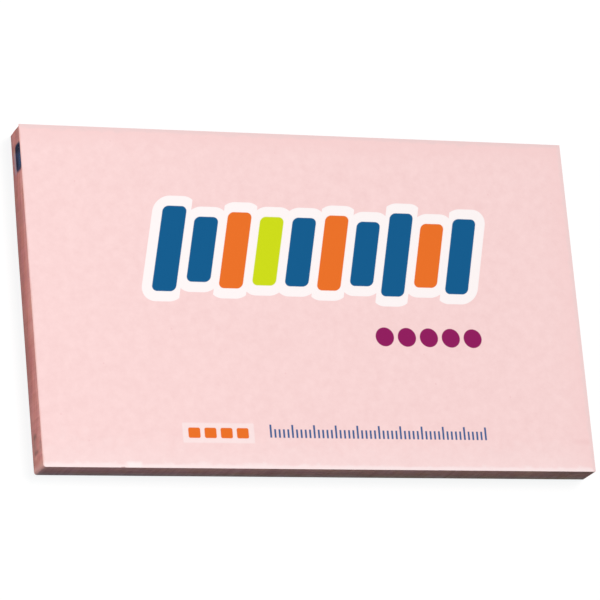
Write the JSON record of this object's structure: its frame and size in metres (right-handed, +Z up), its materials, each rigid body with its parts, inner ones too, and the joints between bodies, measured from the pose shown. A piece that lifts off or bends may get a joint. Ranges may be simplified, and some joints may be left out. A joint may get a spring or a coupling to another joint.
{
  "type": "sticky note pad",
  "caption": "Flat rectangular pad of pink sticky notes with a printed cover note, finely grooved cut edges and a plain backing sheet.",
  "frame": {"origin": "middle of the underside, on the surface that the pad rests on", "axes": "+X along the long edges, +Y from the free edge to the glued edge, +Z up out of the printed cover note"},
  "size_m": [0.127, 0.076, 0.0066],
  "materials": {
    "cover_paper": "matte, printed",
    "note_paper": "matte, cut edges",
    "backing_paper": "matte"
  },
  "bodies": {
    "root": {"cover_note": "cover_paper", "note_block": "note_paper", "backing_sheet": "backing_paper"}
  },
  "joints": []
}
